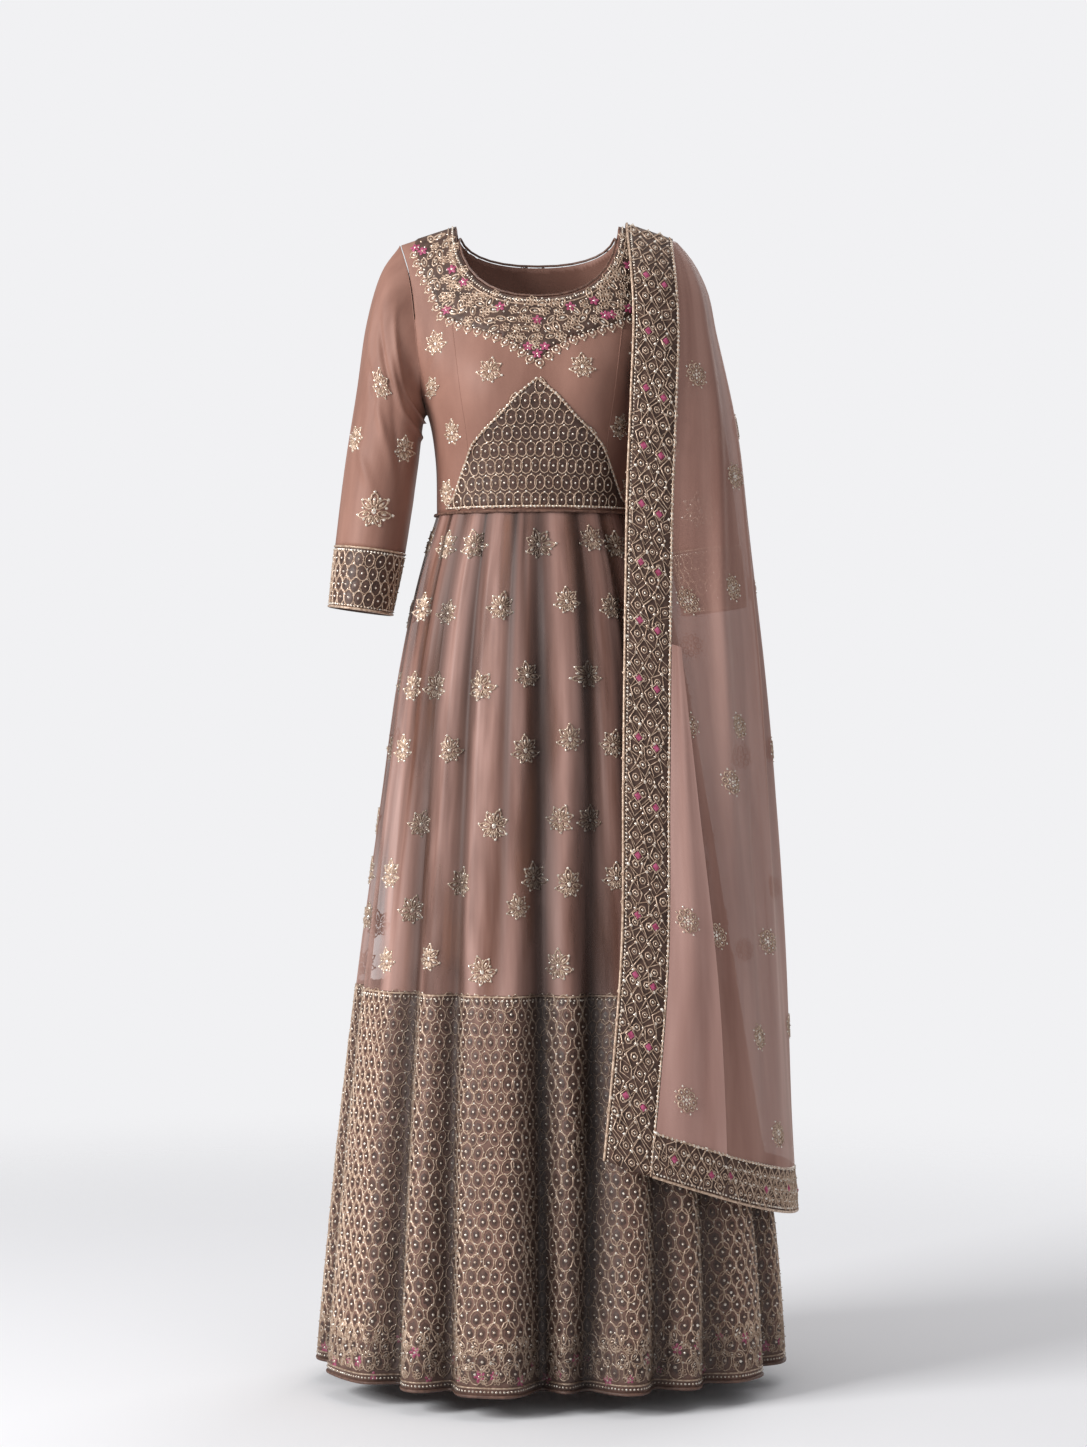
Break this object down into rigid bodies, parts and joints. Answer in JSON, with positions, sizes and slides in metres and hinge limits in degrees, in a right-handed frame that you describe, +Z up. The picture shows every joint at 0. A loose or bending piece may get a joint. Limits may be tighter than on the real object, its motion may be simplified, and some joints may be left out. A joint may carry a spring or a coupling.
{
  "type": "anarkali gown",
  "caption": "Floor-length anarkali gown of mauve net over copper satin, with zari lattice hem, neck yoke, cuffs and attached dupatta, hollow as if worn.",
  "frame": {"origin": "between the two neck points of the shoulder seams, where the gown hangs from the wearer's shoulders", "axes": "+Z up along the gown, -Y out of its front, +X towards the wearer's left, where the dupatta hangs"},
  "size_m": [0.5815, 0.4923, 1.3753],
  "materials": {
    "bodice_cloth": "fine net over satin, soft sheen",
    "net": "sheer fine net",
    "lining_satin": "copper satin",
    "embroidery": "net worked all over with zari thread and beads",
    "piping": "matte cord"
  },
  "bodies": {
    "root": {"bodice_front": "bodice_cloth", "bodice_side_front_left": "bodice_cloth", "bodice_side_front_right": "bodice_cloth", "bodice_back_left": "bodice_cloth", "bodice_back_right": "bodice_cloth", "sleeve_left": "bodice_cloth", "sleeve_right": "bodice_cloth", "kali_01": "net", "kali_02": "net", "kali_03": "net", "kali_04": "net", "kali_05": "net", "kali_06": "net", "kali_07": "net", "kali_08": "net", "kali_09": "net", "kali_10": "net", "kali_11": "net", "kali_12": "net", "kali_13": "net", "kali_14": "net", "dupatta_shoulder": "net", "dupatta_front": "net", "dupatta_side_upper": "net", "dupatta_side_lower": "net", "dupatta_back": "net", "lining_1": "lining_satin", "lining_2": "lining_satin", "lining_3": "lining_satin", "lining_4": "lining_satin", "lining_5": "lining_satin", "lining_6": "lining_satin", "border_01": "embroidery", "border_02": "embroidery", "border_03": "embroidery", "border_04": "embroidery", "border_05": "embroidery", "border_06": "embroidery", "border_07": "embroidery", "border_08": "embroidery", "border_09": "embroidery", "border_10": "embroidery", "border_11": "embroidery", "border_12": "embroidery", "border_13": "embroidery", "border_14": "embroidery", "cuff_left": "embroidery", "cuff_right": "embroidery", "neck_yoke_front": "embroidery", "neck_yoke_back": "embroidery", "waist_panel": "embroidery", "dupatta_front_border": "embroidery", "dupatta_back_border": "embroidery", "dupatta_end_front": "embroidery", "dupatta_end_side": "embroidery", "dupatta_end_back": "embroidery", "neck_piping": "piping", "waist_cord": "piping"}
  },
  "joints": []
}
